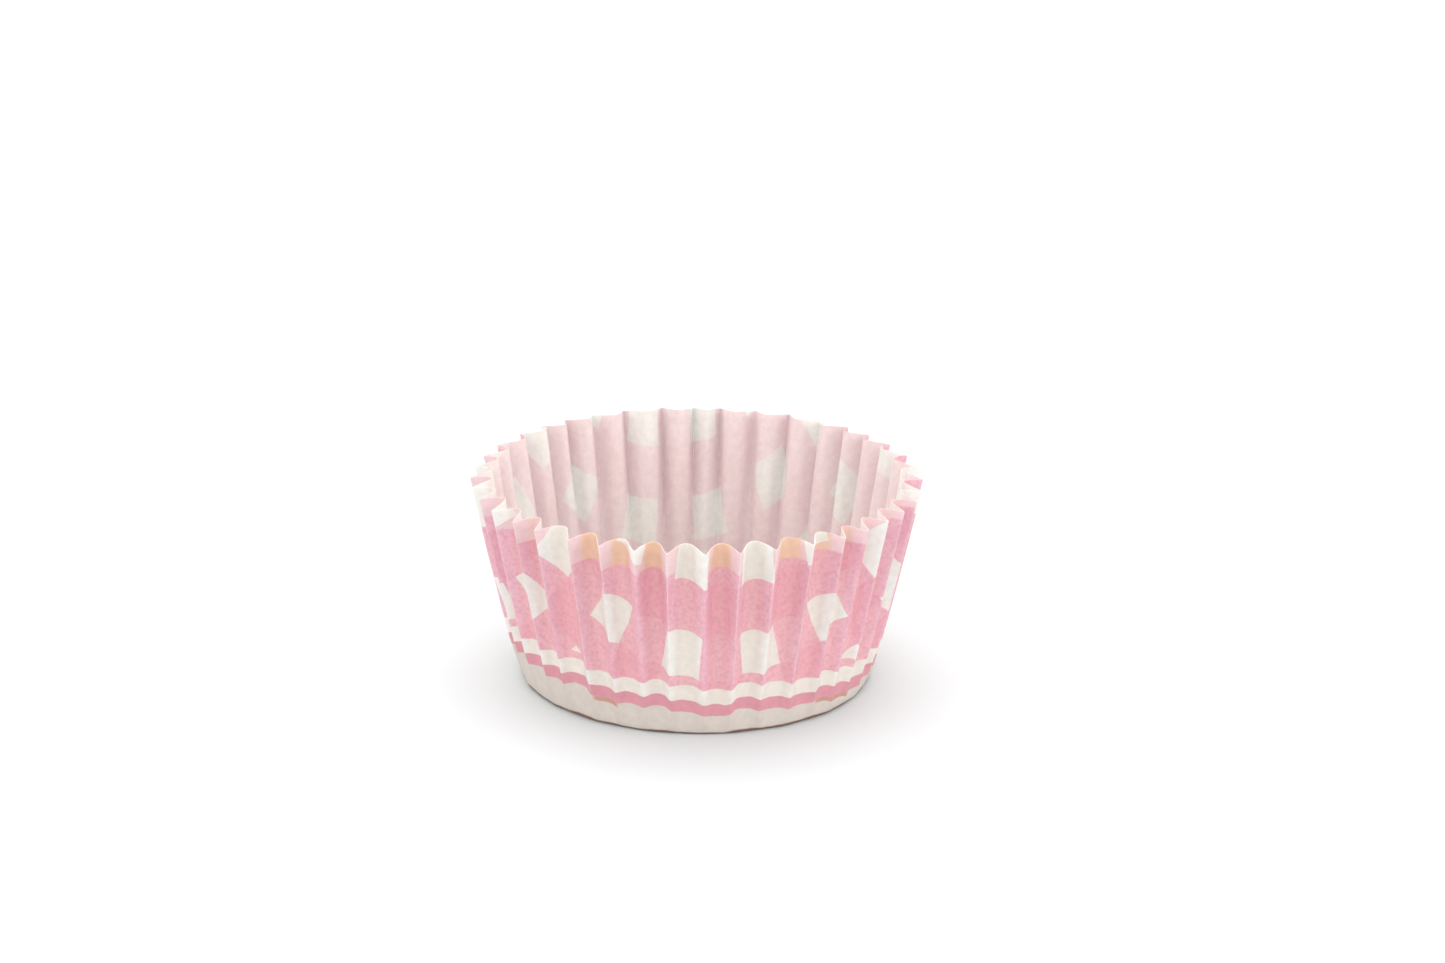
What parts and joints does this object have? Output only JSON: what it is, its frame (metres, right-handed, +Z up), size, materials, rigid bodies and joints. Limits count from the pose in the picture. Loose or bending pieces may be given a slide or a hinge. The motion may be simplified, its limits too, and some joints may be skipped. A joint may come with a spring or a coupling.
{
  "type": "cupcake liner",
  "caption": "Round paper baking cup with a flat base, a flaring pleated wall and an open top, printed with a pink gingham check above one narrow ring.",
  "frame": {"origin": "middle of the base's underside", "axes": "+Z up out of the open top, the row's front towards -Y"},
  "size_m": [0.0649, 0.0647, 0.0299],
  "materials": {
    "printed_paper": "cream greaseproof paper, printed on the outside with a gingham check in two pinks and one narrow pink ring below it"
  },
  "bodies": {
    "root": {"liner": "printed_paper"}
  },
  "joints": []
}
